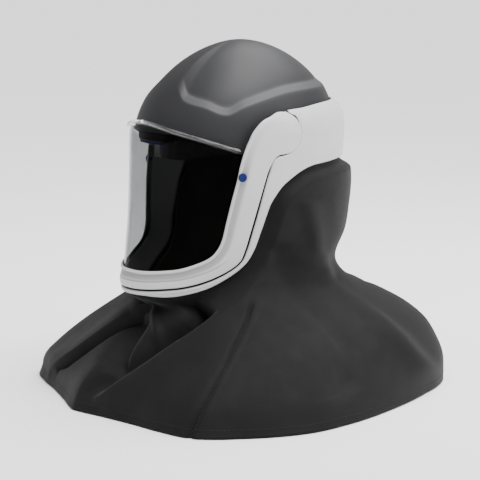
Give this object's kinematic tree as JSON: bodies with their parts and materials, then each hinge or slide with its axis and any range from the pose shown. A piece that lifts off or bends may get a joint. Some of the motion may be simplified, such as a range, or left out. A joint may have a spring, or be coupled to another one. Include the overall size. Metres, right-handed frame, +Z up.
{
  "type": "powered respirator helmet",
  "caption": "Powered respirator helmet with a dark crown shell, a clear lift-up visor in a light-grey frame, a head harness and a black cloth shroud that covers the neck and shoulders",
  "frame": {"origin": "middle of the headband, where the helmet sits on the wearer's head, on the mid plane", "axes": "+Z up along the wearer's neck and head, -Y the way the wearer looks, +X the wearer's left"},
  "size_m": [0.4845, 0.5044, 0.434],
  "materials": {
    "shell": "satin dark grey moulding",
    "frame": "satin light grey moulding",
    "clear": "clear polished polycarbonate",
    "blue": "glossy blue moulding",
    "seal": "dark grey elasticated cloth",
    "harness": "matte black moulding",
    "cloth": "matte charcoal coated cloth"
  },
  "bodies": {
    "helmet": {"crown_shell": "shell", "collar_frame": "frame", "face_seal": "seal", "headband": "harness", "brow_duct": "harness", "air_deflector": "blue", "shroud": "cloth"},
    "visor_unit": {"visor_frame": "frame", "visor": "clear", "visor_rail": "clear", "fastener_left": "blue", "fastener_right": "blue"}
  },
  "joints": [
    {"name": "visor_lift", "type": "hinge", "parent": "helmet", "child": "visor_unit", "pos_m": [0, -0.007, 0.013], "axis": [-1, 0, 0], "range_deg": [0, 65]}
  ]
}
